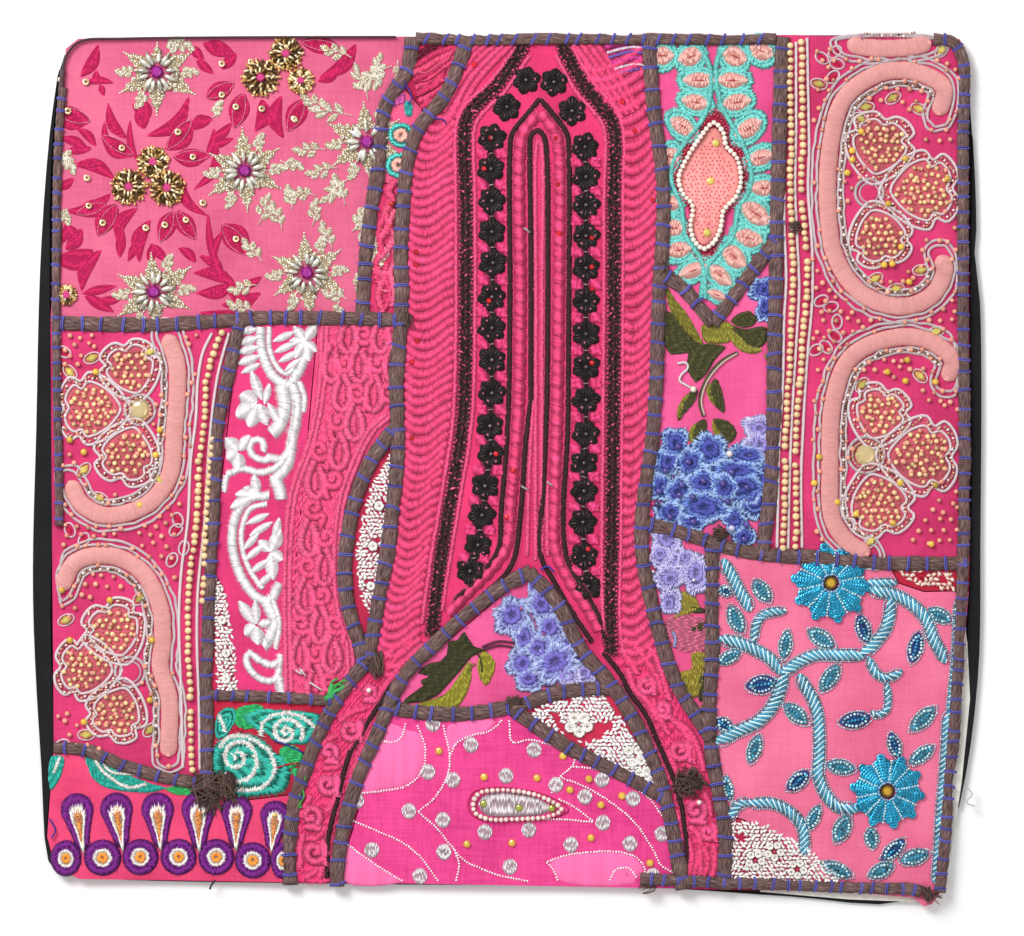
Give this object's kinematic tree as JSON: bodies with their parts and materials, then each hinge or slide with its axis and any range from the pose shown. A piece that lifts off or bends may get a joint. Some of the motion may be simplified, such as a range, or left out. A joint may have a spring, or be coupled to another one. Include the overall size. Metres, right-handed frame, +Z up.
{
  "type": "patchwork cushion cover",
  "caption": "Empty square cushion cover with an embroidered and beaded patchwork face, yarn cords over the seams and a plain black back.",
  "frame": {"origin": "centre of the cover on the underside of its back cloth, where it rests", "axes": "+Z up out of the patchwork face, +X to the right and +Y to the top edge as the face is seen"},
  "size_m": [0.4273, 0.3928, 0.0083],
  "materials": {
    "back_cotton": "plain woven black cotton",
    "lining_cotton": "plain woven off-white cotton",
    "seam_yarn": "thick soft dark yarn, couched",
    "padded_satin": "padded peach satin stitch",
    "cloth_zari_floral": "embroidered cloth patch",
    "cloth_crimson_cap": "embroidered cloth patch",
    "cloth_teal_snippet": "embroidered cloth patch",
    "cloth_crimson_strip": "embroidered cloth patch",
    "cloth_neckline": "embroidered cloth patch",
    "cloth_striped_snippet": "embroidered cloth patch",
    "cloth_lozenge": "embroidered cloth patch",
    "cloth_blue_blossom": "embroidered cloth patch",
    "cloth_right_scroll": "embroidered cloth patch",
    "cloth_chenille_snippet": "embroidered cloth patch",
    "cloth_bead_vine": "embroidered cloth patch",
    "cloth_lace_corner": "embroidered cloth patch",
    "cloth_violet_blossom": "embroidered cloth patch",
    "cloth_left_scroll": "embroidered cloth patch",
    "cloth_white_scroll": "embroidered cloth patch",
    "cloth_braided": "embroidered cloth patch",
    "cloth_lace_strip": "embroidered cloth patch",
    "cloth_spirals": "embroidered cloth patch",
    "cloth_purple_border": "embroidered cloth patch",
    "cloth_dotted_paisley": "embroidered cloth patch",
    "cloth_arch_blossom": "embroidered cloth patch",
    "cloth_lace_triangle": "embroidered cloth patch",
    "cloth_lace_sliver": "embroidered cloth patch"
  },
  "bodies": {
    "root": {"back_panel": "back_cotton", "lining_strip": "lining_cotton", "patch_zari_floral": "cloth_zari_floral", "patch_crimson_cap": "cloth_crimson_cap", "patch_teal_snippet": "cloth_teal_snippet", "patch_crimson_strip": "cloth_crimson_strip", "patch_neckline": "cloth_neckline", "patch_striped_snippet": "cloth_striped_snippet", "patch_lozenge": "cloth_lozenge", "patch_blue_blossom": "cloth_blue_blossom", "patch_right_scroll": "cloth_right_scroll", "patch_chenille_snippet": "cloth_chenille_snippet", "patch_bead_vine": "cloth_bead_vine", "patch_lace_corner": "cloth_lace_corner", "patch_violet_blossom": "cloth_violet_blossom", "patch_left_scroll": "cloth_left_scroll", "patch_white_scroll": "cloth_white_scroll", "patch_braided": "cloth_braided", "patch_lace_strip": "cloth_lace_strip", "patch_spirals": "cloth_spirals", "patch_purple_border": "cloth_purple_border", "patch_dotted_paisley": "cloth_dotted_paisley", "patch_arch_blossom": "cloth_arch_blossom", "patch_lace_triangle": "cloth_lace_triangle", "patch_lace_sliver": "cloth_lace_sliver", "cord_centre_left": "seam_yarn", "cord_centre_right": "seam_yarn", "cord_arch_left": "seam_yarn", "cord_arch_right": "seam_yarn", "cord_scroll_left": "seam_yarn", "cord_right_cross": "seam_yarn", "cord_vine_left": "seam_yarn", "cord_left_cross": "seam_yarn", "cord_zari_right": "seam_yarn", "cord_left_column": "seam_yarn", "cord_left_foot": "seam_yarn", "cord_sliver_left": "seam_yarn", "cord_lower_left": "seam_yarn", "cord_teal_top": "seam_yarn", "cord_arch_foot": "seam_yarn", "cord_lace_foot": "seam_yarn", "cord_notch_left": "seam_yarn", "cord_notch_right": "seam_yarn", "cord_edge_top": "seam_yarn", "cord_edge_right": "seam_yarn", "cord_edge_bottom": "seam_yarn", "cord_edge_left": "seam_yarn", "scroll_right_upper": "padded_satin", "scroll_right_lower": "padded_satin", "scroll_right_top": "padded_satin", "scroll_left_upper": "padded_satin", "scroll_left_lower": "padded_satin"}
  },
  "joints": []
}
